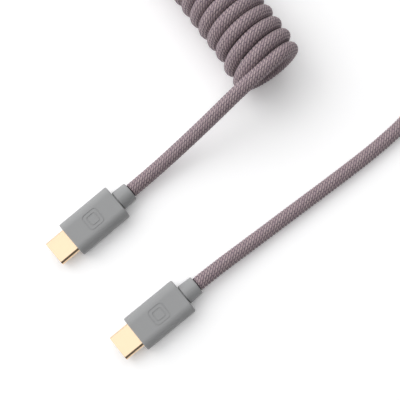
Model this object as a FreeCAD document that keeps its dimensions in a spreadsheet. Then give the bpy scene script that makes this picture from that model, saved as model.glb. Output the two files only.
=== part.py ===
"""Coiled, braided USB-C to USB-C cable: two plugs, their leads and the coil between them.

Each plug is modelled once in its own frame, with the mouth at x = 0, the lead leaving along +X and
the plug's middle plane at z = 0, and is then placed twice. Both lie flat on the surface z = 0.
The document's origin is the bottom centre of the box around the two plugs.
"""
import FreeCAD, Part
import math
import os
import re
import Sketcher

SIZES = (
    # alias, value (mm, degrees or a count), what it is
    ("shell_wide", 8.25, "metal shell, outside width"),
    ("shell_high", 2.4, "metal shell, outside height"),
    ("shell_wall", 0.25, "metal shell, wall"),
    ("shell_out", 6.6, "metal shell, length that stands out of the housing"),
    ("shell_end", 11.2, "metal shell, rear end"),
    ("lip_round", 0.12, "metal shell, rounding of the mouth's edge"),
    ("gap", 0.02, "assembly gap between nested pieces"),
    ("core_start", 0.3, "insulator, front end"),
    ("core_end", 9.6, "insulator, rear end"),
    ("mouth_wide", 6.76, "mouth, width"),
    ("mouth_high", 0.95, "mouth, height"),
    ("mouth_end", 6.2, "mouth, bottom"),
    ("groove_start", 1.3, "contact grooves, front end"),
    ("groove_wide", 0.3, "contact grooves, width"),
    ("groove_top", 0.82, "contact grooves, distance of the bottom from the middle plane"),
    ("pin_count", 12, "contacts in a row"),
    ("pin_pitch", 0.5, "contacts, pitch"),
    ("pin_wide", 0.24, "contacts, width"),
    ("pin_thick", 0.12, "contacts, thickness"),
    ("pin_touch", 0.4, "contacts, distance of the touching point from the middle plane"),
    ("pin_back", 0.62, "contacts, distance of the straight part from the middle plane"),
    ("tail_end", 11.3, "contacts, rear end"),
    ("spring_start", 0.55, "ground springs, front end"),
    ("spring_end", 1.15, "ground springs, rear end"),
    ("spring_wide", 5.6, "ground springs, width"),
    ("spring_thick", 0.1, "ground springs, thickness"),
    ("arm_thick", 0.2, "latch arms, thickness"),
    ("arm_high", 0.6, "latch arms, height"),
    ("arm_side", 3.52, "latch arms, distance of the middle from the plug's axis"),
    ("arm_tip", 1.2, "latch arms, front end"),
    ("arm_root", 8.6, "latch arms, bending line"),
    ("hook_depth", 0.26, "latch arms, hook's reach into the mouth"),
    ("slot_high", 0.7, "latch slots, height"),
    ("base_start", 8.75, "latch base, front end"),
    ("base_wide", 7.2, "latch base, width"),
    ("card_start", 9.7, "paddle card, front end"),
    ("card_end", 17.4, "paddle card, rear end"),
    ("card_wide", 7.0, "paddle card, width"),
    ("card_thick", 0.7, "paddle card, thickness"),
    ("can_start", 8.3, "shield can, front end"),
    ("can_end", 19.0, "shield can, rear end"),
    ("can_wall", 0.15, "shield can, wall"),
    ("tab_wide", 2.4, "shield can, width of the tab at its rear"),
    ("tab_end", 21.4, "shield can, rear end of the tab"),
    ("mould_start", 10.0, "inner mould, front end"),
    ("mould_end", 22.7, "inner mould, rear end"),
    ("mould_wide", 9.9, "inner mould, width"),
    ("mould_high", 4.8, "inner mould, height"),
    ("chamber_wide", 7.0, "wire chamber in the inner mould, width"),
    ("chamber_high", 2.76, "wire chamber in the inner mould, height"),
    ("chamber_end", 21.9, "wire chamber in the inner mould, rear end"),
    ("housing_wide", 11.6, "housing, width"),
    ("housing_high", 6.5, "housing, height"),
    ("side_round", 2.9, "housing, rounding of the long edges"),
    ("housing_end", 24.6, "housing, rear end"),
    ("housing_round", 0.35, "housing, rounding of the end edges"),
    ("rear_wall", 0.9, "housing, rear wall"),
    ("mark_wide", 5.4, "key outline sunk in the housing, outside width"),
    ("mark_inner", 3.3, "key outline sunk in the housing, width of the inner square"),
    ("mark_round", 1.2, "key outline sunk in the housing, corner radius"),
    ("mark_line", 0.3, "key outline sunk in the housing, line width"),
    ("mark_deep", 0.14, "key outline sunk in the housing, depth"),
    ("flange_start", 22.75, "strain relief, front end of the flange"),
    ("flange_wide", 8.4, "strain relief, flange width"),
    ("flange_high", 4.8, "strain relief, flange height"),
    ("neck_wide", 5.3, "strain relief, neck diameter"),
    ("collar_start", 24.85, "strain relief, front end of the collar"),
    ("collar_end", 29.6, "strain relief, rear end of the collar"),
    ("collar_wide", 6.4, "strain relief, collar diameter at the housing"),
    ("collar_tail", 6.0, "strain relief, collar diameter at the cord"),
    ("collar_round", 0.25, "strain relief, rounding of the collar's edges"),
    ("recess_wide", 5.2, "strain relief, diameter of the recess round the cord"),
    ("recess_deep", 0.6, "strain relief, depth of the recess round the cord"),
    ("cord_wide", 4.5, "braided cord, diameter"),
    ("jacket_wide", 3.9, "cable jacket under the braid, diameter"),
    ("jacket_start", 22.0, "cable jacket, its end in the plug"),
    ("sleeve_start", 24.2, "braided sleeve, its end in the plug"),
    ("ferrule_start", 22.1, "crimp ferrule, front end"),
    ("ferrule_end", 24.1, "crimp ferrule, rear end"),
    ("ferrule_wall", 0.25, "crimp ferrule, wall"),
    ("wire_wide", 0.78, "insulated wires, diameter"),
    ("plug_a_x", -13.1, "plug A, mouth"),
    ("plug_a_y", 17.25, "plug A, mouth"),
    ("plug_a_yaw", 0.0, "plug A, direction of its lead"),
    ("plug_b_x", -16.4, "plug B, mouth"),
    ("plug_b_y", -16.66, "plug B, mouth"),
    ("plug_b_yaw", -1.4, "plug B, direction of its lead"),
    ("turn_radius", 8.8, "coil, radius of the turns' centre line"),
    ("turn_pitch", 4.52, "coil, distance between turns"),
    ("turn_count", 24, "coil, turns"),
    ("coil_x", 72.5, "coil, its axis at the near end"),
    ("coil_y", 17.3, "coil, its axis at the near end"),
    ("coil_yaw", -5.4, "coil, its axis against +Y"),
)
BEND_SHARE = 0.45          # part of the shorter run that a bend takes on each side of its point
FLOOR_GAP = 0.03           # the cord's clearance above the surface
LEAD_OUT = 7.0             # first stretch of a lead, in line with its plug
VOLUME_TOLERANCE = 0.02    # a swept tube's volume against its section times its length

doc = FreeCAD.newDocument("CoiledCable")
sheet = doc.addObject("Spreadsheet::Sheet", "Sizes")
for row, (alias, number, meaning) in enumerate(SIZES, start=1):
    sheet.set(f"A{row}", meaning)
    sheet.set(f"B{row}", str(number))
    sheet.setAlias(f"B{row}", alias)
doc.recompute()
size = {alias: float(sheet.get(alias)) for alias, _, _ in SIZES}

parts = []                 # the document's objects that are written as files


def bind(feature, prop, text):
    """Bind a property to an expression of the sheet's aliases."""
    named = re.sub(r"[a-z][a-z_]*", lambda word: "Sizes." + word.group() if word.group() in size
                   else word.group(), str(text))
    feature.setExpression(prop, named)


def place(feature, plug):
    """Bind a feature's placement to plug a or b."""
    feature.Placement = FreeCAD.Placement(FreeCAD.Vector(), FreeCAD.Rotation(FreeCAD.Vector(0, 0, 1), 1))
    bind(feature, "Placement.Base.x", f"plug_{plug}_x")
    bind(feature, "Placement.Base.y", f"plug_{plug}_y")
    bind(feature, "Placement.Base.z", "housing_high / 2")
    bind(feature, "Placement.Rotation.Angle", f"plug_{plug}_yaw")


def plug_placement(plug):
    """The same placement as a value, for shapes that are made in code."""
    where = FreeCAD.Vector(size[f"plug_{plug}_x"], size[f"plug_{plug}_y"], size["housing_high"] / 2)
    return FreeCAD.Placement(where, FreeCAD.Rotation(FreeCAD.Vector(0, 0, 1), size[f"plug_{plug}_yaw"]))


def new_body(name, plug):
    body = doc.addObject("PartDesign::Body", f"{name}_{plug}")
    body.Label = f"{name}_{plug}"
    body.AllowCompound = True
    place(body, plug)
    parts.append(body)
    return body


def new_sketch(body, role, shift=None):
    """A sketch on one of the body's origin planes, moved along the plane's normal."""
    sketch = body.newObject("Sketcher::SketchObject", body.Name + "_sketch")
    support = next(item for item in body.Origin.OriginFeatures if item.Role == role)
    sketch.AttachmentSupport = [(support, "")]
    sketch.MapMode = "FlatFace"
    if shift is not None:
        bind(sketch, "AttachmentOffset.Base.z", shift)
    return sketch


def number(text):
    """The value of an expression of the aliases."""
    words = {word: size[word] for word in re.findall(r"[a-z][a-z_]*", str(text))}
    for word, amount in sorted(words.items(), key=lambda item: -len(item[0])):
        text = re.sub(rf"\b{word}\b", repr(amount), str(text))
    return float(FreeCAD.Units.Quantity(str(text)).Value)


def dimension(sketch, constraint, text):
    """Add a dimension and bind it to an expression."""
    index = sketch.addConstraint(constraint)
    bind(sketch, f"Constraints[{index}]", text)


def polygon(body, role, corners, shift=None):
    """A closed outline whose corners are pairs of expressions."""
    sketch = new_sketch(body, role, shift)
    spots = [FreeCAD.Vector(number(across), number(up), 0) for across, up in corners]
    for start, end in zip(spots, spots[1:] + spots[:1]):
        sketch.addGeometry(Part.LineSegment(start, end), False)
    for index in range(len(corners)):
        sketch.addConstraint(Sketcher.Constraint("Coincident", index, 2, (index + 1) % len(corners), 1))
    for index, (across, up) in enumerate(corners):
        dimension(sketch, Sketcher.Constraint("DistanceX", -1, 1, index, 1, number(across)), across)
        dimension(sketch, Sketcher.Constraint("DistanceY", -1, 1, index, 1, number(up)), up)
    return sketch


def box_outline(body, role, left, low, right, high, shift=None):
    corners = ((left, low), (right, low), (right, high), (left, high))
    return polygon(body, role, corners, shift)


def obround(sketch, wide, high):
    """Add a flat-topped outline with half-round ends, centred on the sketch's origin."""
    radius, reach = number(high) / 2, (number(wide) - number(high)) / 2
    first = sketch.GeometryCount
    quarter = math.pi / 2
    right_end = Part.Circle(FreeCAD.Vector(reach, 0, 0), FreeCAD.Vector(0, 0, 1), radius)
    left_end = Part.Circle(FreeCAD.Vector(-reach, 0, 0), FreeCAD.Vector(0, 0, 1), radius)
    sketch.addGeometry(Part.ArcOfCircle(right_end, -quarter, quarter), False)
    sketch.addGeometry(Part.LineSegment(FreeCAD.Vector(reach, radius, 0),
                                        FreeCAD.Vector(-reach, radius, 0)), False)
    sketch.addGeometry(Part.ArcOfCircle(left_end, quarter, 3 * quarter), False)
    sketch.addGeometry(Part.LineSegment(FreeCAD.Vector(-reach, -radius, 0),
                                        FreeCAD.Vector(reach, -radius, 0)), False)
    right, top, left, bottom = range(first, first + 4)
    for one, one_end, other, other_end in ((right, 2, top, 1), (top, 2, left, 1),
                                           (left, 2, bottom, 1), (bottom, 2, right, 1)):
        sketch.addConstraint(Sketcher.Constraint("Tangent", one, one_end, other, other_end))
    sketch.addConstraint(Sketcher.Constraint("PointOnObject", right, 3, -1))
    sketch.addConstraint(Sketcher.Constraint("Symmetric", right, 3, left, 3, -1, 1))
    dimension(sketch, Sketcher.Constraint("Radius", right, radius), f"({high}) / 2")
    dimension(sketch, Sketcher.Constraint("DistanceX", -1, 1, right, 3, reach), f"(({wide}) - ({high})) / 2")


def obround_sketch(body, wide, high, shift=None):
    sketch = new_sketch(body, "YZ_Plane", shift)
    obround(sketch, wide, high)
    return sketch


def ring_sketch(body, outside, inside, shift=None):
    """One or two circles round the plug's axis; inside may be None."""
    sketch = new_sketch(body, "YZ_Plane", shift)
    for index, wide in enumerate(text for text in (outside, inside) if text is not None):
        sketch.addGeometry(Part.Circle(FreeCAD.Vector(), FreeCAD.Vector(0, 0, 1), number(wide) / 2), False)
        sketch.addConstraint(Sketcher.Constraint("Coincident", index, 3, -1, 1))
        dimension(sketch, Sketcher.Constraint("Diameter", index, number(wide)), wide)
    return sketch


def pad(body, sketch, length, midplane=False):
    feature = body.newObject("PartDesign::Pad", body.Name + "_pad")
    feature.Profile = sketch
    feature.Midplane = midplane
    bind(feature, "Length", length)
    doc.recompute()
    return feature


def pocket(body, sketch, length, midplane=False):
    """Cut along the sketch's normal and make sure that something went."""
    before = body.Shape.Volume
    feature = body.newObject("PartDesign::Pocket", body.Name + "_pocket")
    feature.Profile = sketch
    feature.Midplane = midplane
    feature.Reversed = True
    bind(feature, "Length", length)
    doc.recompute()
    assert body.Shape.Volume < before - 1e-6, f"{feature.Name} cuts nothing"
    return feature


def pattern(body, feature, role, length, count):
    """Repeat a feature along an origin axis of its body."""
    repeat = body.newObject("PartDesign::LinearPattern", body.Name + "_pattern")
    repeat.Originals = [feature]
    repeat.Direction = (next(item for item in body.Origin.OriginFeatures if item.Role == role), [""])
    bind(repeat, "Length", length)
    bind(repeat, "Occurrences", count)
    body.Tip = repeat
    doc.recompute()
    return repeat


def round_edges(body, radius, wanted):
    """Fillet the edges for which wanted(edge) is true."""
    base = body.Tip
    names = [f"Edge{index}" for index, edge in enumerate(base.Shape.Edges, start=1) if wanted(edge)]
    assert names, f"{body.Name} has no edge to round"
    feature = body.newObject("PartDesign::Fillet", body.Name + "_fillet")
    feature.Base = (base, names)
    bind(feature, "Radius", radius)
    doc.recompute()
    return feature


def lies_at(edge, along):
    """True for an edge in the plane x = along."""
    box = edge.BoundBox
    return abs(box.XMin - along) < 1e-4 and abs(box.XMax - along) < 1e-4


def shell(plug):
    """Deep-drawn tube that enters the socket."""
    body = new_body("shell", plug)
    pad(body, obround_sketch(body, "shell_wide", "shell_high"), "shell_end")
    inside = obround_sketch(body, "shell_wide - 2 * shell_wall", "shell_high - 2 * shell_wall")
    pocket(body, inside, "shell_end")
    round_edges(body, "lip_round", lambda edge: lies_at(edge, 0))


def insulator(plug):
    """Black moulding in the shell, with the mouth, contact grooves and latch slots."""
    body = new_body("insulator", plug)
    clear = "2 * shell_wall - 2 * gap"
    pad(body, obround_sketch(body, f"shell_wide - {clear}", f"shell_high - {clear}", "core_start"),
        "core_end - core_start")
    mouth = box_outline(body, "YZ_Plane", "-mouth_wide / 2", "-mouth_high / 2", "mouth_wide / 2",
                        "mouth_high / 2", "core_start")
    pocket(body, mouth, "mouth_end - core_start")
    middle = box_outline(body, "XY_Plane", "arm_root + 0.15", "-base_wide / 2 - gap",
                         "core_end", "base_wide / 2 + gap")
    pocket(body, middle, "arm_high + 2 * gap", midplane=True)
    for side in (-1, 1):
        inner, outer = f"{side} * mouth_wide / 2", f"{side} * shell_wide / 2"
        low, high = (outer, inner) if side < 0 else (inner, outer)
        slot = box_outline(body, "XY_Plane", "arm_tip - 0.2", low, "arm_root + 0.15", high)
        pocket(body, slot, "slot_high", midplane=True)
    row_half = "pin_pitch * (pin_count - 1) / 2"
    for side in (-1, 1):
        near, far = f"{side} * mouth_high / 2 - {side} * 0.1", f"{side} * groove_top"
        low, high = (far, near) if side < 0 else (near, far)
        groove = box_outline(body, "YZ_Plane", f"-{row_half} - groove_wide / 2", low,
                             f"-{row_half} + groove_wide / 2", high, "groove_start")
        cut = pocket(body, groove, "core_end - groove_start")
        pattern(body, cut, "Y_Axis", "pin_pitch * (pin_count - 1)", "pin_count")
    for side in (-1, 1):
        near, far = f"{side} * mouth_high / 2 - {side} * 0.1", f"{side} * (mouth_high / 2 + 0.15)"
        low, high = (far, near) if side < 0 else (near, far)
        seat = box_outline(body, "YZ_Plane", "-spring_wide / 2 - gap", low, "spring_wide / 2 + gap",
                           high, "spring_start - gap")
        pocket(body, seat, "spring_end - spring_start + 2 * gap")


def contacts(name, side, plug):
    """A row of bent strips: touching bow in the mouth, straight back, tail on the card."""
    body = new_body(name, plug)
    line = (("1.5", "pin_touch + 0.14"), ("2.3", "pin_touch"), ("3.1", "pin_touch + 0.02"),
            ("5.9", "pin_back"), ("core_end - 0.3", "pin_back"), ("core_end + 0.1", "card_thick / 2"),
            ("tail_end", "card_thick / 2"))
    near = [(along, f"{side} * ({up})") for along, up in line]
    far = [(along, f"{side} * ({up} + pin_thick)") for along, up in reversed(line)]
    # pads grow from the sketch plane's middle, so the row starts with its first contact moved out
    sketch = polygon(body, "XZ_Plane", near + far, "pin_pitch * (pin_count - 1) / 2")
    strip = pad(body, sketch, "pin_wide", midplane=True)
    pattern(body, strip, "Y_Axis", "pin_pitch * (pin_count - 1)", "pin_count")


def ground_springs(plug):
    """Two bowed strips just inside the mouth that touch the socket's tongue."""
    body = new_body("ground_springs", plug)
    for side in (-1, 1):
        line = (("spring_start", "mouth_high / 2 + 0.03"),
                ("(spring_start + spring_end) / 2", "mouth_high / 2 - 0.04"),
                ("spring_end", "mouth_high / 2 + 0.03"))
        near = [(along, f"{side} * ({up})") for along, up in line]
        far = [(along, f"{side} * ({up} + spring_thick)") for along, up in reversed(line)]
        pad(body, polygon(body, "XZ_Plane", near + far), "spring_wide", midplane=True)


def latch_base(plug):
    """Steel cross plate at the back of the insulator that both latch arms bend from."""
    body = new_body("latch_base", plug)
    plate = box_outline(body, "XY_Plane", "base_start", "-base_wide / 2", "core_end", "base_wide / 2")
    pad(body, plate, "arm_high", midplane=True)


def latch_arm(name, side, plug):
    """Sprung steel arm beside the mouth, with a hook that catches the socket's tongue."""
    body = new_body(name, plug)
    middle, half = f"{side} * arm_side", f"{side} * arm_thick / 2"
    inner, outer = f"{middle} - {half}", f"{middle} + {half}"
    corners = ((("arm_tip"), f"{outer}"), ("arm_tip", f"{inner}"),
               ("arm_tip + 0.25", f"{inner} - {side} * hook_depth"),
               ("arm_tip + 0.45", f"{inner} - {side} * hook_depth"),
               ("arm_tip + 0.8", f"{inner}"), ("arm_root", f"{inner}"), ("arm_root", f"{outer}"))
    pad(body, polygon(body, "XY_Plane", corners), "arm_high", midplane=True)


def paddle_card(plug):
    """Circuit board that the contacts and wires are soldered to."""
    body = new_body("paddle_card", plug)
    board = box_outline(body, "XY_Plane", "card_start", "-card_wide / 2", "card_end", "card_wide / 2")
    pad(body, board, "card_thick", midplane=True)


def boxes(name, plug, blocks):
    """A group of small blocks; each is start, side and low corner, then length, width and height."""
    made = []
    for index, block in enumerate(blocks, start=1):
        block_box = doc.addObject("Part::Box", f"{name}_{plug}_{index}")
        for prop, text in zip(("Placement.Base.x", "Placement.Base.y", "Placement.Base.z",
                               "Length", "Width", "Height"), block):
            bind(block_box, prop, text)
        made.append(block_box)
    group = doc.addObject("Part::Compound", f"{name}_{plug}")
    group.Label = f"{name}_{plug}"
    group.Links = made
    place(group, plug)
    parts.append(group)


def card_parts(plug):
    """Marker chip, two resistors on the upper face and two capacitors on the lower one."""
    top, under = "card_thick / 2", "-card_thick / 2"
    boxes("card_parts", plug, (
        ("card_start + 2.7", "-1.0", top, "2.0", "2.0", "0.6"),
        ("card_start + 2.9", "1.7", top, "1.0", "0.5", "0.35"),
        ("card_start + 2.9", "-2.3", top, "1.0", "0.5", "0.35"),
        ("card_start + 3.2", "-2.0", under + " - 0.45", "1.0", "0.5", "0.45"),
        ("card_start + 3.2", "1.5", under + " - 0.45", "1.0", "0.5", "0.45")))


WIRES = (("wire_red", 1, 1), ("wire_white", -1, 1), ("wire_green", 1, -1), ("wire_black", -1, -1))
WIRE_END = 16.2            # where a wire's insulation stops over the card
WIRE_SIDE = 1.7            # distance of a soldered wire from the plug's axis


def solder(plug):
    """Four joints between the wires and the card."""
    joint_long, joint_wide, joint_high = 1.1, 0.9, 0.55
    boxes("solder", plug, [
        (WIRE_END - joint_long, across * WIRE_SIDE - joint_wide / 2,
         "card_thick / 2" if up > 0 else f"-card_thick / 2 - {joint_high}",
         joint_long, joint_wide, joint_high) for _, across, up in WIRES])


def half_can(name, side, plug):
    """Half of the stamped can round the card, split at the plug's middle plane."""
    body = new_body(name, plug)
    inner_wide, inner_high = "(shell_wide + 2 * gap)", "(shell_high + 2 * gap)"
    outside = obround_sketch(body, f"{inner_wide} + 2 * can_wall", f"{inner_high} + 2 * can_wall",
                             "can_start")
    pad(body, outside, "can_end - can_start")
    pocket(body, obround_sketch(body, inner_wide, inner_high, "can_start"), "can_end - can_start")
    low, high = ("-shell_wide", "gap / 2") if side > 0 else ("-gap / 2", "shell_wide")
    unwanted = box_outline(body, "XZ_Plane", "can_start - 1", low, "can_end + 1", high)
    pocket(body, unwanted, "3 * shell_wide", midplane=True)
    if side < 0:
        under = f"-{inner_high} / 2"
        tab = box_outline(body, "YZ_Plane", "-tab_wide / 2", f"{under} - can_wall", "tab_wide / 2",
                          under, "can_end - 0.3")
        pad(body, tab, "tab_end - can_end + 0.3")


def inner_mould(plug):
    """Stiff moulding that holds the can, the wires and the end of the cable together."""
    body = new_body("inner_mould", plug)
    pad(body, obround_sketch(body, "mould_wide", "mould_high", "mould_start"), "mould_end - mould_start")
    can = obround_sketch(body, "shell_wide + 4 * gap + 2 * can_wall", "shell_high + 4 * gap + 2 * can_wall",
                         "mould_start")
    pocket(body, can, "can_end - mould_start + gap")
    chamber = obround_sketch(body, "chamber_wide", "chamber_high", "can_end - 1")
    pocket(body, chamber, "chamber_end - can_end + 1")
    bore = ring_sketch(body, "jacket_wide + 2 * ferrule_wall + 2 * gap", None, "chamber_end - 0.5")
    pocket(body, bore, "mould_end - chamber_end + 1")


def housing(plug):
    """Grey outer moulding with a sunken key outline on its upper face."""
    body = new_body("housing", plug)
    block = box_outline(body, "YZ_Plane", "-housing_wide / 2", "-housing_high / 2", "housing_wide / 2",
                        "housing_high / 2", "shell_out")
    pad(body, block, "housing_end - shell_out")
    round_edges(body, "side_round", lambda edge: edge.BoundBox.XLength > 1)
    front = obround_sketch(body, "shell_wide + 2 * gap", "shell_high + 2 * gap", "shell_out")
    pocket(body, front, "can_start - shell_out")
    can = obround_sketch(body, "shell_wide + 4 * gap + 2 * can_wall", "shell_high + 4 * gap + 2 * can_wall",
                         "can_start - gap")
    pocket(body, can, "mould_start - can_start + gap")
    mould = obround_sketch(body, "mould_wide + 2 * gap", "mould_high + 2 * gap", "mould_start - gap")
    pocket(body, mould, "housing_end - rear_wall - mould_start + gap")
    pocket(body, ring_sketch(body, "neck_wide + 2 * gap", None, "housing_end - rear_wall - gap"),
           "rear_wall + 1")
    outer_half = size["housing_high"] / 2
    for along in (size["shell_out"], size["housing_end"]):
        round_edges(body, "housing_round", lambda edge: lies_at(edge, along) and (
            abs(edge.BoundBox.ZMax) > outer_half - 1e-4 or abs(edge.BoundBox.ZMin) > outer_half - 1e-4))
    for wide in ("mark_wide", "mark_inner"):
        pocket(body, key_outline(body, wide), "mark_deep + 1")


def key_outline(body, wide):
    """A square ring with rounded corners, sunk from above the housing's upper face."""
    sketch = new_sketch(body, "XY_Plane", "housing_high / 2 - mark_deep")
    centre = (size["shell_out"] + size["housing_end"]) / 2
    for inset in (0, size["mark_line"]):
        half, corner = size[wide] / 2 - inset, size["mark_round"] * size[wide] / size["mark_wide"] - inset
        flat = half - corner
        for quarter in range(4):
            angle = math.radians(90 * quarter)
            turn = FreeCAD.Rotation(FreeCAD.Vector(0, 0, 1), 90 * quarter)
            middle = FreeCAD.Vector(centre, 0, 0)
            start, end = (middle + turn.multVec(FreeCAD.Vector(half, up, 0)) for up in (-flat, flat))
            round_centre = middle + turn.multVec(FreeCAD.Vector(flat, flat, 0))
            circle = Part.Circle(round_centre, FreeCAD.Vector(0, 0, 1), corner)
            sketch.addGeometry(Part.LineSegment(start, end), False)
            sketch.addGeometry(Part.ArcOfCircle(circle, angle, angle + math.pi / 2), False)
    return sketch


def strain_relief(plug):
    """Grey collar with a flange held in the housing; a narrow groove parts it from the housing."""
    body = new_body("strain_relief", plug)
    pad(body, obround_sketch(body, "flange_wide", "flange_high", "flange_start"),
        "housing_end - rear_wall - flange_start - gap")
    pad(body, ring_sketch(body, "neck_wide", None, "housing_end - rear_wall - gap"),
        "collar_start - housing_end + rear_wall + gap + 0.1")
    half, tail = "collar_wide / 2", "collar_tail / 2"
    side = polygon(body, "XZ_Plane", (("collar_start", "0"), ("collar_end", "0"), ("collar_end", tail),
                                      ("collar_start", half)))
    collar = body.newObject("PartDesign::Revolution", body.Name + "_revolution")
    collar.Profile = side
    collar.ReferenceAxis = (side, ["H_Axis"])
    collar.Angle = 360
    doc.recompute()
    for along in (size["collar_start"], size["collar_end"]):
        round_edges(body, "collar_round", lambda edge: lies_at(edge, along)
                    and edge.BoundBox.ZMax > size["neck_wide"] / 2 + 0.1)
    bore = ring_sketch(body, "cord_wide + gap", None, "flange_start - 1")
    pocket(body, bore, "collar_end - flange_start + 2")
    recess = ring_sketch(body, "recess_wide", None, "collar_end - recess_deep")
    pocket(body, recess, "recess_deep + 1")


def round_pieces(plug):
    """Crimp ferrule, and the ends of the cable's jacket and braided sleeve."""
    ferrule = new_body("ferrule", plug)
    pad(ferrule, ring_sketch(ferrule, "jacket_wide + 2 * ferrule_wall", "jacket_wide + gap",
                             "ferrule_start"), "ferrule_end - ferrule_start")
    jacket = new_body("jacket_end", plug)
    pad(jacket, ring_sketch(jacket, "jacket_wide", None, "jacket_start"), "collar_end - jacket_start")
    sleeve = new_body("sleeve_end", plug)
    pad(sleeve, ring_sketch(sleeve, "cord_wide - gap", "jacket_wide + gap", "sleeve_start"),
        "collar_end - sleeve_start")


def rounded_path(points, report=None):
    """Straight runs joined by tangent arcs."""
    spots = [FreeCAD.Vector(*point) for point in points]
    edges, here, radii = [], spots[0], []
    for before, corner, after in zip(spots, spots[1:], spots[2:]):
        into, out = corner - before, after - corner
        turn = into.getAngle(out)
        reach = BEND_SHARE * min(into.Length, out.Length)
        radius = reach / math.tan(turn / 2)
        start = corner - into.normalize() * reach
        end = corner + out.normalize() * reach
        towards = ((start + end) / 2 - corner).normalize()
        middle = corner + towards * (radius / math.cos(turn / 2) - radius)
        edges += [Part.LineSegment(here, start).toShape(), Part.Arc(start, middle, end).toShape()]
        radii.append(round(radius, 1))
        here = end
    edges.append(Part.LineSegment(here, spots[-1]).toShape())
    if report:
        print(report, "bend radii in mm:", radii)
    return Part.Wire(edges)


def tube(name, points, diameter, placement=None, report=False):
    """A round tube along a route; its volume has to be its section times its length."""
    path = rounded_path(points, name if report else None)
    first = FreeCAD.Vector(*points[1]) - FreeCAD.Vector(*points[0])
    section = Part.Wire(Part.makeCircle(diameter / 2, FreeCAD.Vector(*points[0]), first))
    solid = path.makePipeShell([section], True, False)
    expected = math.pi * diameter ** 2 / 4 * path.Length
    assert abs(solid.Volume / expected - 1) < VOLUME_TOLERANCE, f"{name} has the wrong volume"
    feature = doc.addObject("Part::Feature", name)
    feature.Label = name
    feature.Shape = solid
    if placement is not None:
        feature.Placement = placement
    parts.append(feature)
    if report:
        print(name, "length in mm:", round(path.Length, 1))


def wires(plug):
    """Four insulated wires from the cable's jacket to the card."""
    start, spread = size["jacket_start"], 0.55
    level = size["card_thick"] / 2 + size["wire_wide"] / 2 + 0.05
    for name, across, up in WIRES:
        side, height = across * WIRE_SIDE, up * level
        route = ((start, across * spread, up * spread), (start - 1.5, across * spread, up * spread),
                 (start - 3.8, side, height), (WIRE_END, side, height))
        tube(f"{name}_{plug}", route, size["wire_wide"], plug_placement(plug))


def cord():
    """The two free leads and the coil's outer shape."""
    rest = size["cord_wide"] / 2 + FLOOR_GAP
    crown = size["cord_wide"] / 2 + FLOOR_GAP + 2 * size["turn_radius"]
    exit_a, out_a, exit_b, out_b = (tuple(plug_placement(plug).multVec(FreeCAD.Vector(along, 0, 0)))
                                    for plug in ("a", "b")
                                    for along in (size["collar_end"], size["collar_end"] + LEAD_OUT))
    lean = math.radians(size["coil_yaw"])
    coil_long = size["turn_pitch"] * size["turn_count"]
    far_x = size["coil_x"] - math.sin(lean) * coil_long
    far_y = size["coil_y"] + math.cos(lean) * coil_long
    lead_a = (exit_a, out_a, (34.5, 17.0, 5.4), (47.0, 16.7, 11.2), (60.0, 16.7, 17.4),
              (size["coil_x"], size["coil_y"], crown))
    tube("cord_lead_a", lead_a, size["cord_wide"], report=True)
    lead_b = (exit_b, out_b, (34.0, -18.5, rest + 0.1), (51.0, -19.6, rest),
              (68.0, -20.8, rest), (84.0, -21.6, rest), (99.0, -21.0, rest), (113.0, -15.5, rest),
              (123.5, -5.0, rest), (129.5, 9.5, rest), (130.5, 26.0, rest), (128.5, 44.0, rest),
              (127.0, 63.0, rest), (127.5, 82.0, rest), (126.0, 98.0, rest + 0.3), (119.5, 110.5, 4.4),
              (109.0, 119.5, 10.2), (96.0, 124.6, 17.4), (far_x, far_y, crown))
    tube("cord_lead_b", lead_b, size["cord_wide"], report=True)
    coil = doc.addObject("Part::Cylinder", "cord_coil")
    coil.Label = "cord_coil"
    bind(coil, "Radius", "turn_radius + cord_wide / 2")
    bind(coil, "Height", "turn_pitch * turn_count + cord_wide")
    along = FreeCAD.Vector(-math.sin(lean), math.cos(lean), 0)
    near = FreeCAD.Vector(size["coil_x"], size["coil_y"], size["turn_radius"] + rest)
    coil.Placement = FreeCAD.Placement(near - along * size["cord_wide"] / 2,
                                       FreeCAD.Rotation(FreeCAD.Vector(0, 0, 1), along))
    parts.append(coil)


for plug in ("a", "b"):
    shell(plug)
    insulator(plug)
    contacts("contacts_upper", 1, plug)
    contacts("contacts_lower", -1, plug)
    ground_springs(plug)
    latch_base(plug)
    latch_arm("latch_left", 1, plug)
    latch_arm("latch_right", -1, plug)
    paddle_card(plug)
    card_parts(plug)
    solder(plug)
    half_can("can_upper", 1, plug)
    half_can("can_lower", -1, plug)
    inner_mould(plug)
    round_pieces(plug)
    wires(plug)
    strain_relief(plug)
    housing(plug)
cord()
doc.recompute()

for item in doc.Objects:
    assert not {"Invalid", "Error"} & set(item.State), f"{item.Name}: {item.State}"
for item in parts:
    assert not item.Shape.isNull() and item.Shape.isValid(), f"{item.Label} has no valid shape"
os.makedirs("parts", exist_ok=True)
for item in parts:
    item.Shape.exportStep(f"parts/{item.Label}.step")
print(len(parts), "parts,", sum(len(item.Shape.Solids) for item in parts), "solids")
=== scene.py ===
"""Looks of the coiled, braided USB-C cable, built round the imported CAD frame. Lengths are in metres."""
import math

import bpy
import numpy as np
from mathutils import Matrix, Vector


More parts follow.
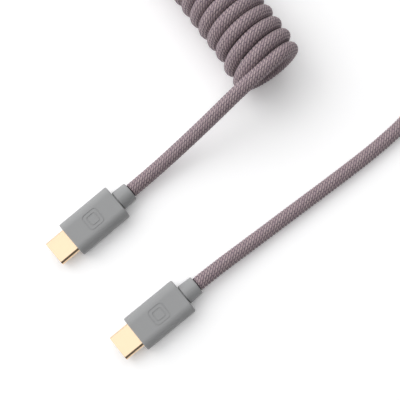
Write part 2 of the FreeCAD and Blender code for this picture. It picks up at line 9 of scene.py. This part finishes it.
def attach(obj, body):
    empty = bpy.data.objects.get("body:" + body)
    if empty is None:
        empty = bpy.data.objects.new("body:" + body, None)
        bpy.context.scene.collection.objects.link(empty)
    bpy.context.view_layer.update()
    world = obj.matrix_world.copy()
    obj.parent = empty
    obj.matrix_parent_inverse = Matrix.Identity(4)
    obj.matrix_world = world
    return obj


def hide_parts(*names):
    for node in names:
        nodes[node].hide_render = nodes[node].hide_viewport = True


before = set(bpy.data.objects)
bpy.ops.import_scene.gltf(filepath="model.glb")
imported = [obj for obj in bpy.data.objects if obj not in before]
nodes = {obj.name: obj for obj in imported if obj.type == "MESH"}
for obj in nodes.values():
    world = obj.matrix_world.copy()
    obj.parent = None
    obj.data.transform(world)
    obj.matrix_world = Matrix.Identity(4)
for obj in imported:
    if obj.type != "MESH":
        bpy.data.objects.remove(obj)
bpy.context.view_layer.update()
scene = bpy.context.scene
MM = 0.001

# ---------------------------------------------------------------- camera
VIEW_CENTRE = Vector((31.15, 1.9, 0)) * MM     # the point of the surface at the picture's middle
VIEW_DISTANCE = 270 * MM
VIEW_TILT = math.radians(11.0)                 # away from straight down
VIEW_TURN = math.radians(49.3)                 # the picture's upward direction against +X
VIEW_LENS = 79.3                               # mm
VIEW_SENSOR = 36                               # mm wide
VIEW_CLIP = (0.01, 20)                         # nearest and farthest thing seen


def make_camera():
    """Down on the cable, from a little towards the picture's lower edge."""
    up = Vector((math.cos(VIEW_TURN), math.sin(VIEW_TURN), 0))
    back = Vector((0, 0, 1)) * math.cos(VIEW_TILT) - up * math.sin(VIEW_TILT)
    right = up.cross(back).normalized()
    data = bpy.data.cameras.new("camera")
    data.lens = VIEW_LENS
    data.sensor_width = VIEW_SENSOR
    data.clip_start, data.clip_end = VIEW_CLIP
    camera = bpy.data.objects.new("camera", data)
    scene.collection.objects.link(camera)
    turn = Matrix((right, back.cross(right), back)).transposed()
    camera.matrix_world = Matrix.Translation(VIEW_CENTRE + back * VIEW_DISTANCE) @ turn.to_4x4()
    scene.camera = camera


# ---------------------------------------------------------------- the cord's route
CORD_WIDE = 4.5 * MM
CORE_RADIUS = 0.455 * CORD_WIDE                # of the jacket under the braid
CORE_STEPS = 12                                # points of the smooth line for each control point
TURN_RADIUS = 8.8 * MM                         # of a turn's middle line
TURN_PITCH = 4.52 * MM
TURN_COUNT = 24
POINTS_PER_TURN = 12                           # control points
COIL_NEAR = Vector((72.5, 17.3, 11.08)) * MM   # the coil's axis at its near end
COIL_YAW = math.radians(-5.4)                  # the coil's axis against +Y
# The first turns stand loose: at LOOSE_AT turns from the near end they stand LOOSE_BACK mm off the coil,
# and lean LOOSE_ASIDE mm towards -X.
LOOSE_AT = (0, 0.25, 0.5, 0.75, 1.0, 1.25, 1.5, 1.75, 2.0, 2.5)
LOOSE_BACK = (0.7, 0.3, 1.1, 1.65, 0.4, 0, 0.3, 0.9, 0.1, 0)
LOOSE_ASIDE = (0, 0.8, 0.9, 1.2, 0.1, 0, 0.4, 0.8, 0, 0)
# Points of the two leads in mm, from the plug on.
LEAD_A = ((16.5, 17.25, 3.25), (23.5, 17.25, 3.25), (34.5, 17.2, 5.4), (47.0, 16.8, 11.2),
          (60.0, 16.7, 17.4))
LEAD_B = ((13.191, -17.383, 3.25), (20.189, -17.554, 3.25), (34.0, -18.5, 2.38), (51.0, -19.6, 2.28),
          (68.0, -20.8, 2.28), (84.0, -21.6, 2.28), (99.0, -21.0, 2.28), (113.0, -15.5, 2.28),
          (123.5, -5.0, 2.28), (129.5, 9.5, 2.28), (130.5, 26.0, 2.28), (128.5, 44.0, 2.28),
          (127.0, 63.0, 2.28), (127.5, 82.0, 2.28), (126.0, 98.0, 2.58), (119.5, 110.5, 4.4),
          (109.0, 119.5, 10.2), (96.0, 124.6, 17.4))


def coil_points():
    """Control points of the turns, from the top of the first one to the top of the last one."""
    across = Vector((math.cos(COIL_YAW), math.sin(COIL_YAW), 0))
    along = Vector((-math.sin(COIL_YAW), math.cos(COIL_YAW), 0))
    reach = TURN_RADIUS / math.cos(math.pi / POINTS_PER_TURN)
    points = []
    for index in range(TURN_COUNT * POINTS_PER_TURN + 1):
        turns = index / POINTS_PER_TURN
        angle = 2 * math.pi * turns
        back = np.interp(turns, LOOSE_AT, LOOSE_BACK) * MM
        aside = np.interp(turns, LOOSE_AT, LOOSE_ASIDE) * MM
        centre = COIL_NEAR + along * (TURN_PITCH * turns - back) - across * aside
        points.append(centre + across * reach * math.sin(angle) + Vector((0, 0, reach * math.cos(angle))))
    return points


def route_points():
    """Control points of the whole cord, from plug A over the coil to plug B."""
    lead_a = [Vector(point) * MM for point in LEAD_A]
    lead_b = [Vector(point) * MM for point in LEAD_B]
    return lead_a + coil_points() + lead_b[::-1]


def make_core():
    """The cable's jacket, swept along one smooth line from plug to plug, and the points of that line."""
    data = bpy.data.curves.new("cord_core", "CURVE")
    data.dimensions = "3D"
    spline = data.splines.new("NURBS")
    points = route_points()
    spline.points.add(len(points) - 1)
    for control, point in zip(spline.points, points):
        control.co = (*point, 1)
    spline.order_u = 3
    spline.use_endpoint_u = True
    spline.resolution_u = CORE_STEPS
    data.resolution_u = CORE_STEPS
    core = bpy.data.objects.new("cord_core", data)
    scene.collection.objects.link(core)
    line = bpy.data.meshes.new_from_object(core)
    followed = np.array([vertex.co for vertex in line.vertices], float)
    bpy.data.meshes.remove(line)
    data.bevel_depth = CORE_RADIUS
    data.bevel_resolution = 2
    data.use_fill_caps = True
    return core, followed


# ---------------------------------------------------------------- materials
NOISE_SPAN = (0.3, 0.7)                        # the noise's useful values
NOISE_DETAIL = 3.0
YARN_GRAIN = {"grain": 9.0, "relief": 0.5, "depth": 0.03, "stretch": (0.6, 4.0, 1), "coordinates": "UV"}


def material(name, colour, roughness, metallic=0.0, sheen=0.0, coat=0.0, specular=0.5):
    made = bpy.data.materials.new(name)
    made.use_nodes = True
    shader = made.node_tree.nodes["Principled BSDF"]
    shader.inputs["Base Color"].default_value = (*colour, 1)
    shader.inputs["Roughness"].default_value = roughness
    shader.inputs["Metallic"].default_value = metallic
    shader.inputs["Sheen Weight"].default_value = sheen
    shader.inputs["Coat Weight"].default_value = coat
    shader.inputs["Specular IOR Level"].default_value = specular
    return made


def add_bump(made, grain, relief, depth, stretch, coordinates):
    """Fine relief from a noise: grain is its scale, depth is in mm, stretch scales it along each axis."""
    tree = made.node_tree
    where = tree.nodes.new("ShaderNodeTexCoord")
    mapping = tree.nodes.new("ShaderNodeMapping")
    mapping.inputs["Scale"].default_value = stretch
    noise = tree.nodes.new("ShaderNodeTexNoise")
    noise.inputs["Scale"].default_value = grain
    noise.inputs["Detail"].default_value = NOISE_DETAIL
    bump = tree.nodes.new("ShaderNodeBump")
    bump.inputs["Strength"].default_value = relief
    bump.inputs["Distance"].default_value = depth * MM
    tree.links.new(where.outputs[coordinates], mapping.inputs["Vector"])
    tree.links.new(mapping.outputs["Vector"], noise.inputs["Vector"])
    tree.links.new(noise.outputs["Fac"], bump.inputs["Height"])
    tree.links.new(bump.outputs["Normal"], tree.nodes["Principled BSDF"].inputs["Normal"])
    return noise


def vary_roughness(made, noise, low, high):
    """Let a noise drive the roughness between two values."""
    tree = made.node_tree
    span = tree.nodes.new("ShaderNodeMapRange")
    span.inputs["From Min"].default_value, span.inputs["From Max"].default_value = NOISE_SPAN
    span.inputs["To Min"].default_value, span.inputs["To Max"].default_value = low, high
    tree.links.new(noise.outputs["Fac"], span.inputs["Value"])
    tree.links.new(span.outputs["Result"], tree.nodes["Principled BSDF"].inputs["Roughness"])


def surface(name, colour, roughness, grain, relief, depth, span, stretch=(1, 1, 1), coordinates="Object",
            **weights):
    """A material with a fine relief, whose roughness varies over the span."""
    made = material(name, colour, roughness, **weights)
    vary_roughness(made, add_bump(made, grain, relief, depth, stretch, coordinates), *span)
    return made


def metal(name, colour, roughness, grain, relief, depth, span, stretch=(1, 1, 1)):
    return surface(name, colour, roughness, grain, relief, depth, span, stretch, metallic=1.0)


def wire(colour_name, colour):
    return surface(f"wire_{colour_name}", colour, 0.35, 3000, 0.08, 0.01, (0.3, 0.4))


def yarn(tone, colour, roughness, span, sheen):
    return surface(f"yarn_{tone}", colour, roughness, span=span, sheen=sheen, **YARN_GRAIN)


def make_materials():
    """After each colour: roughness, the relief's grain, strength and depth in mm, and roughness's span."""
    return {
        "housing": surface("housing_grey", (0.31, 0.313, 0.317), 0.55, 9000, 0.12, 0.02, (0.5, 0.62)),
        "gold": metal("gold_shell", (0.84, 0.64, 0.44), 0.2, 2500, 0.04, 0.01, (0.14, 0.24), (0.2, 1, 1)),
        "contact": metal("contact_gold", (0.85, 0.63, 0.28), 0.25, 4000, 0.05, 0.01, (0.2, 0.32)),
        "insulator": surface("insulator_black", (0.02, 0.02, 0.022), 0.5, 6000, 0.1, 0.01, (0.45, 0.6)),
        "spring": metal("spring_steel", (0.6, 0.6, 0.61), 0.3, 5000, 0.08, 0.01, (0.25, 0.4), (0.1, 1, 1)),
        "card": surface("card_green", (0.02, 0.13, 0.06), 0.35, 3000, 0.1, 0.02, (0.3, 0.45), coat=0.3),
        "chip": surface("chip_black", (0.03, 0.03, 0.032), 0.45, 6000, 0.15, 0.01, (0.4, 0.55)),
        "solder": metal("solder", (0.7, 0.7, 0.69), 0.22, 3000, 0.2, 0.03, (0.18, 0.35)),
        "can": metal("can_steel", (0.66, 0.66, 0.67), 0.28, 3000, 0.06, 0.01, (0.22, 0.36), (0.15, 1, 1)),
        "mould": surface("inner_mould_white", (0.72, 0.71, 0.66), 0.4, 2500, 0.1, 0.02, (0.35, 0.5)),
        "ferrule": metal("ferrule_nickel", (0.7, 0.68, 0.64), 0.25, 3000, 0.1, 0.02, (0.2, 0.35)),
        "jacket": surface("jacket_black", (0.03, 0.03, 0.033), 0.6, 3000, 0.15, 0.02, (0.55, 0.7)),
        "wire_red": wire("red", (0.5, 0.02, 0.02)),
        "wire_white": wire("white", (0.75, 0.75, 0.73)),
        "wire_green": wire("green", (0.02, 0.28, 0.08)),
        "wire_black": wire("black", (0.02, 0.02, 0.02)),
        "core": surface("braid_ground", (0.05, 0.04, 0.045), 0.8, 3000, 0.3, 0.03, (0.75, 0.9)),
        # pale and rose: partly the yarns' own colour, partly painted highlight; mauve and deep: partly
        # their own colour, partly painted shade
        "yarn_pale": yarn("pale", (0.425, 0.33, 0.335), 0.62, (0.5, 0.72), 0.15),
        "yarn_rose": yarn("rose", (0.38, 0.285, 0.30), 0.62, (0.5, 0.72), 0.15),
        "yarn_mauve": yarn("mauve", (0.25, 0.19, 0.215), 0.66, (0.55, 0.75), 0.12),
        "yarn_deep": yarn("deep", (0.18, 0.135, 0.165), 0.66, (0.55, 0.75), 0.12),
    }


# ---------------------------------------------------------------- braid
YARNS = 14                                     # yarns wound each way
YARN_LOOKS = ("yarn_pale", "yarn_rose", "yarn_mauve", "yarn_deep")     # tones 0 to 3
COLUMNS = 2 * YARNS                            # crossings and gaps round the cord
ROW_STEP = 0.56 * MM                           # from one row of crossings to the next
# The band of bare dark jacket between a collar and the braid is a painted shade ring for the shaded mouth
# of the collar.
FREE_END = 0.35 * MM                           # bare jacket between a collar and the braid
ACROSS = (-1, -0.55, 0.55, 1)                  # stations across a yarn; 1 is half its spacing
STRIPS = len(ACROSS) - 1                       # faces across a yarn
CROWN_STRIP = 1                                # the one on its crown; the others are its flanks
# Where a pale yarn runs over the dark ones, and where a dark yarn shows between the pale ones:
# stations along that yarn, and its crown's distances from the cord's line in mm.
OVER = {"stops": (-1.5, -0.5, 0.5, 1.5), "crown": (2.03, 2.22, 2.22, 2.03)}
UNDER = {"stops": (-0.5, 0, 0.5), "crown": (2.03, 2.12, 2.03)}
GROOVE = 1.97 * MM                             # distance of the grooves beside the yarns
# The pale yarns, all wound one way, are painted lighter as if their fibres caught the light. The dark
# yarns, wound the other way, are painted darker as if shaded. The rest of the difference is the yarns' own
# two colours.
PALE_TONES = (0, 1, 0, 0, 0, 1, 0, 0, 0, 1, 0, 0, 0, 1)                # tone of each pale yarn
DARK_TONES = (2, 2, 2, 3, 2, 2, 2, 3, 2, 2, 2, 3, 2, 2)                # tone of each dark yarn
# A pale yarn's flanks get a dark tone: painted shade where its sides turn away from the light, partly the
# dark yarns showing beneath.
FLANK_SHADE_TONE = 3                                 # tone of a pale yarn's flanks
SAME_POINT = 1e-4 * MM                         # points nearer than this become one
SHORTEST_STEP = 1e-6 * MM                      # along the cord's line


def frames_along(line):
    """The line without repeats, the length along it, and two crosswise directions that don't twist."""
    lengths = np.linalg.norm(np.diff(line, axis=0), axis=1)
    line = line[np.concatenate(([True], lengths > SHORTEST_STEP))]
    steps = np.diff(line, axis=0)
    lengths = np.linalg.norm(steps, axis=1)
    tangents = steps / lengths[:, None]
    tangents = np.vstack((tangents[:1], tangents[:-1] + tangents[1:], tangents[-1:]))
    tangents /= np.linalg.norm(tangents, axis=1)[:, None]
    normals = np.empty_like(tangents)
    normal = np.cross(tangents[0], (0.0, 1.0, 0.0))
    for index, tangent in enumerate(tangents):
        normal = normal - tangent * (normal @ tangent)
        normal /= np.linalg.norm(normal)
        normals[index] = normal
    sides = np.cross(tangents, normals)
    return line, np.concatenate(([0.0], np.cumsum(lengths))), normals, sides


def place_round(measured, rows, columns, heights):
    """Points at the given rows and columns of the braid's lattice, at heights from the cord's line."""
    line, along, normals, sides = measured
    where = np.clip(rows * ROW_STEP, FREE_END, along[-1] - FREE_END)
    centre, normal, side = [
        np.stack([np.interp(where, along, values[:, axis]) for axis in range(3)], axis=-1)
        for values in (line, normals, sides)]
    angle = 2 * np.pi * columns[..., None] / COLUMNS
    return centre + (normal * np.cos(angle) + side * np.sin(angle)) * heights[..., None]


def lay_crossings(measured, rows, columns, kind):
    """Points, quads and stations of all crossings of one kind; rows and columns are their middles."""
    along, across = (grid.ravel() for grid in np.meshgrid(kind["stops"], ACROSS, indexing="ij"))
    heights = np.repeat(kind["crown"], len(ACROSS)) * MM
    heights[np.abs(across) == 1] = GROOVE
    wide = len(ACROSS)
    quads = np.array([(wide * i + j, wide * i + j + 1, wide * i + j + wide + 1, wide * i + j + wide)
                      for i in range(len(kind["stops"]) - 1) for j in range(STRIPS)])
    places = place_round(measured, rows[:, None] + (along + across) / 2,
                         columns[:, None] + (across - along) / 2,
                         np.broadcast_to(heights, (len(rows), len(heights))))
    faces = quads[None] + len(along) * np.arange(len(rows))[:, None, None]
    return places.reshape(-1, 3), faces.reshape(-1, 4), np.stack((along, across), axis=-1), len(quads)


def make_braid(measured, spans, materials):
    """The outer faces of the braid's yarns, cut into pieces at the given lengths along the cord."""
    row_count = int(measured[1][-1] / ROW_STEP) + 2
    row, column = np.meshgrid(np.arange(row_count), np.arange(COLUMNS), indexing="ij")
    pieces = []
    for name, start, end in spans:
        here = (row >= start / ROW_STEP) & (row < end / ROW_STEP) & ((row + column) % 2 == 0)
        points, quads, texture, tones = [], [], [], []
        for kind, odd, yarns in ((OVER, 1, PALE_TONES), (UNDER, 0, DARK_TONES)):
            rows, columns = row[here & (column % 2 == odd)], column[here & (column % 2 == odd)]
            places, faces, stations, count = lay_crossings(measured, rows, columns, kind)
            yarn_index = (columns + rows if odd else columns - rows) // 2 % YARNS
            tone = np.repeat(np.array(yarns)[yarn_index], count)
            # the flanks of a pale yarn get painted shade, partly the dark yarns beneath showing through
            if kind is OVER:
                tone[np.arange(len(tone)) % STRIPS != CROWN_STRIP] = FLANK_SHADE_TONE
            else:
                stations = stations[:, ::-1]
            quads.append(faces + sum(len(group) for group in points))
            points.append(places)
            texture.append((stations[None] + rows[:, None, None] * (1, 0)).reshape(-1, 2))
            tones.append(tone)
        pieces.append(mesh_piece(name, np.vstack(points), np.vstack(quads), np.vstack(texture),
                                 np.concatenate(tones), materials))
    return pieces


def mesh_piece(name, points, quads, texture, tones, materials):
    """A smooth mesh whose equal points are merged; texture is one pair for each point."""
    key = np.round(points / SAME_POINT).astype(np.int64)
    _, first, same = np.unique(key, axis=0, return_index=True, return_inverse=True)
    mesh = bpy.data.meshes.new(name)
    mesh.vertices.add(len(first))
    mesh.vertices.foreach_set("co", points[first].astype(np.float32).ravel())
    mesh.loops.add(quads.size)
    mesh.loops.foreach_set("vertex_index", same.ravel()[quads].astype(np.int32).ravel())
    mesh.polygons.add(len(quads))
    mesh.polygons.foreach_set("loop_start", np.arange(0, quads.size, 4, dtype=np.int32))
    for made in materials:
        mesh.materials.append(made)
    mesh.polygons.foreach_set("material_index", tones.astype(np.int32))
    mesh.polygons.foreach_set("use_smooth", np.ones(len(quads), bool))
    layer = mesh.uv_layers.new(name="along_yarn")
    layer.data.foreach_set("uv", texture[quads].astype(np.float32).ravel())
    mesh.update(calc_edges=True)
    mesh.validate()
    piece = bpy.data.objects.new(name, mesh)
    scene.collection.objects.link(piece)
    return piece


# ---------------------------------------------------------------- surroundings
FLOOR_REACH = 3.0                              # from the middle of the floor to its sides
FLOOR_GLOW = 0.14
DOME_MIDDLE = Vector((-0.17, 0.55, 0.82))      # direction of the pale dome's middle
DOME_SPREAD = math.radians(56)                 # from its middle to its edge
DOME_EDGE = math.radians(6)                    # half the width of that edge
DOME_LIGHT = 1.38
HORIZON_LIGHT = 0.12
KEY_PLACE = Vector((-0.26, 0.66, 0.78))        # the key light's
KEY_POWER = 2.5                                # watts
KEY_SIZE = 0.75                                # the disk's width


def make_floor():
    """White paper that glows a little, so that its far parts stay white; the glow is painted light that
    also lightens the shadows cast on it.
    """
    paper = surface("floor_white", (0.95, 0.95, 0.955), 0.8, 40, 0.02, 0.1, (0.75, 0.85), specular=0.1)
    shader = paper.node_tree.nodes["Principled BSDF"]
    shader.inputs["Emission Color"].default_value = (1, 1, 1, 1)
    shader.inputs["Emission Strength"].default_value = FLOOR_GLOW
    corners = [(FLOOR_REACH * x, FLOOR_REACH * y, 0) for x, y in ((-1, -1), (1, -1), (1, 1), (-1, 1))]
    mesh = bpy.data.meshes.new("floor")
    mesh.from_pydata(corners, [], [(0, 1, 2, 3)])
    mesh.materials.append(paper)
    floor = bpy.data.objects.new("floor", mesh)
    scene.collection.objects.link(floor)


def make_key():
    """A disk of light over the cable, left out of mirror reflections."""
    data = bpy.data.lights.new("key", "AREA")
    data.shape = "DISK"
    data.size = KEY_SIZE
    data.energy = KEY_POWER
    key = bpy.data.objects.new("key", data)
    key.location = KEY_PLACE
    key.rotation_euler = (KEY_PLACE - VIEW_CENTRE).to_track_quat("Z", "Y").to_euler()
    key.visible_glossy = False
    scene.collection.objects.link(key)


def make_world():
    """A broad pale dome over the far side of the cable, dim round the rest of the horizon."""
    world = bpy.data.worlds.new("studio")
    scene.world = world
    world.use_nodes = True
    tree = world.node_tree
    where = tree.nodes.new("ShaderNodeTexCoord")
    facing = tree.nodes.new("ShaderNodeVectorMath")
    facing.operation = "DOT_PRODUCT"
    facing.inputs[1].default_value = DOME_MIDDLE
    ramp = tree.nodes.new("ShaderNodeMapRange")
    ramp.interpolation_type = "SMOOTHSTEP"
    ramp.inputs["From Min"].default_value = math.cos(DOME_SPREAD + DOME_EDGE)
    ramp.inputs["From Max"].default_value = math.cos(DOME_SPREAD - DOME_EDGE)
    ramp.inputs["To Min"].default_value = HORIZON_LIGHT
    ramp.inputs["To Max"].default_value = DOME_LIGHT
    tree.links.new(where.outputs["Generated"], facing.inputs[0])
    tree.links.new(facing.outputs["Value"], ramp.inputs["Value"])
    tree.links.new(ramp.outputs["Result"], tree.nodes["Background"].inputs["Strength"])
    tree.nodes["Background"].inputs["Color"].default_value = (1, 1, 1, 1)


# ---------------------------------------------------------------- build
LEAD_A_CUT = 60 * MM                           # along the cord, where lead A's braid ends
COIL_CUT_EARLY = 2 * MM                        # the coil's braid ends this much before its last turn
COIL_PIECES = 5                                # pieces of the coil's braid
LOOKS = {"shell": "gold", "insulator": "insulator", "contacts_upper": "contact",
         "contacts_lower": "contact", "ground_springs": "spring", "latch_base": "spring",
         "latch_left": "spring", "latch_right": "spring", "paddle_card": "card", "card_parts": "chip",
         "solder": "solder", "can_upper": "can", "can_lower": "can", "inner_mould": "mould",
         "ferrule": "ferrule", "jacket_end": "jacket", "sleeve_end": "yarn_mauve",
         "wire_red": "wire_red", "wire_white": "wire_white", "wire_green": "wire_green",
         "wire_black": "wire_black", "strain_relief": "housing", "housing": "housing"}


def braid_spans(cord_length):
    """Names of the braid's pieces, and where each starts and ends along the cord."""
    turn_length = math.hypot(2 * math.pi * TURN_RADIUS, TURN_PITCH)
    coil_end = LEAD_A_CUT + TURN_COUNT * turn_length - COIL_CUT_EARLY
    cuts = [LEAD_A_CUT + share * (coil_end - LEAD_A_CUT) / COIL_PIECES for share in range(COIL_PIECES + 1)]
    coil = [(f"braid_coil_{index + 1}", cuts[index], cuts[index + 1]) for index in range(COIL_PIECES)]
    past_end = cord_length + 2 * ROW_STEP
    return [("braid_lead_a", 0, LEAD_A_CUT), *coil, ("braid_lead_b", coil_end, past_end)]


make_camera()
core, followed = make_core()
materials = make_materials()
measured = frames_along(followed)
cord_length = float(measured[1][-1])
braids = make_braid(measured, braid_spans(cord_length), [materials[look] for look in YARN_LOOKS])
core.data.materials.append(materials["core"])
for piece in (core, *braids):
    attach(piece, "cable")
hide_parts("cord_lead_a", "cord_coil", "cord_lead_b")

for name, look in LOOKS.items():
    for plug in ("a", "b"):
        node = nodes[f"{name}_{plug}"]
        for holder in node.material_slots:
            holder.material = materials[look]

make_floor()
make_world()
make_key()
scene.view_settings.view_transform = "Standard"
